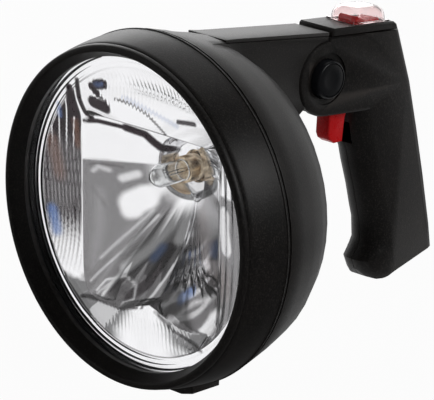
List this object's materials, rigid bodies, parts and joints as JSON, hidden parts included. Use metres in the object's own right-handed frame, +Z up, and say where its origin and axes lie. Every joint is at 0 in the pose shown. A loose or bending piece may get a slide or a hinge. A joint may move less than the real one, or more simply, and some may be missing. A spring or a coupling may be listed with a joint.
{
  "type": "halogen searchlight",
  "caption": "Hand-held halogen searchlight: round reflector head on a neck that tilts on a pistol grip, with trigger, booted rocker switch and side release button.",
  "frame": {"origin": "centre of the hand on the pistol grip, midway between its front and rear and on the symmetry plane", "axes": "+Z up with the lamp level, -Y the way the lamp shines, +X the side of the hinge release button"},
  "size_m": [0.1776, 0.211, 0.181],
  "materials": {
    "black_plastic": "fine spark-eroded texture",
    "dark_plastic": "satin moulded",
    "red_plastic": "glossy moulded",
    "lens_glass": "clear pressed glass",
    "bulb_glass": "clear quartz",
    "clear_boot": "clear soft vinyl",
    "reflector_mirror": "vacuum-metallised",
    "zinc_steel": "zinc-plated",
    "spring_steel": "drawn wire",
    "tungsten": "drawn wire",
    "brass": "pressed, slightly dulled",
    "rubber": "moulded, matt",
    "nylon": "natural moulded",
    "lead_sheath": "extruded sheath"
  },
  "bodies": {
    "handle": {"grip_right": "black_plastic", "grip_left": "black_plastic", "grip_screw_1": "zinc_steel", "grip_screw_2": "zinc_steel", "grip_screw_3": "zinc_steel", "grip_screw_4": "zinc_steel", "switch_plate": "black_plastic", "rocker_pin": "zinc_steel", "switch_body": "dark_plastic", "switch_boot": "clear_boot", "trigger_pin": "zinc_steel", "trigger_spring": "spring_steel", "trigger_switch": "dark_plastic", "switch_leaf": "spring_steel", "friction_washer_left": "nylon", "friction_washer_right": "nylon", "lock_spring": "spring_steel", "cable_inlet": "rubber", "terminal_block": "nylon", "hinge_lead_1": "lead_sheath", "hinge_lead_2": "lead_sheath", "switch_lead": "lead_sheath", "trigger_lead": "lead_sheath"},
    "head": {"bezel_ring": "black_plastic", "lens_gasket": "rubber", "lens": "lens_glass", "reflector": "reflector_mirror", "bulb_glass": "bulb_glass", "bulb_filament": "tungsten", "bulb_base": "brass", "rear_housing": "black_plastic", "neck_cover": "black_plastic", "bezel_clamp": "black_plastic", "clamp_screw": "zinc_steel", "bulb_lead_left": "lead_sheath", "bulb_lead_right": "lead_sheath"},
    "bulb_clip": {"bulb_clip": "spring_steel"},
    "rocker": {"rocker": "red_plastic"},
    "trigger": {"trigger": "red_plastic"},
    "lock_button": {"lock_button": "dark_plastic", "button_cap": "dark_plastic", "hinge_bolt": "zinc_steel", "hinge_nut": "zinc_steel"}
  },
  "joints": [
    {"name": "head_tilt", "type": "hinge", "parent": "handle", "child": "head", "pos_m": [0, -0.05564, 0.07144], "axis": [1, 0, 0], "range_deg": [0, 40]},
    {"name": "trigger_pull", "type": "hinge", "parent": "handle", "child": "trigger", "pos_m": [0, -0.0343, 0.05681], "axis": [1, 0, 0], "range_deg": [0, 10], "stiffness_Nm_per_rad": 0.3, "springref_deg": -8.59, "deforming": ["trigger_spring", "switch_leaf"]},
    {"name": "rocker_tilt", "type": "hinge", "parent": "handle", "child": "rocker", "pos_m": [0, -0.02201, 0.08751], "axis": [1, 0, 0], "range_deg": [0, 12]},
    {"name": "lock_press", "type": "slide", "parent": "handle", "child": "lock_button", "axis": [-1, 0, 0], "range_m": [0, 0.003], "stiffness_N_per_m": 2000, "springref_m": -0.003, "deforming": ["lock_spring"]},
    {"name": "bulb_clip_swing", "type": "hinge", "parent": "head", "child": "bulb_clip", "pos_m": [0, -0.12844, 0.02474], "axis": [-1, 0, 0], "range_deg": [0, 20], "stiffness_Nm_per_rad": 0.05, "springref_deg": -11.46}
  ]
}
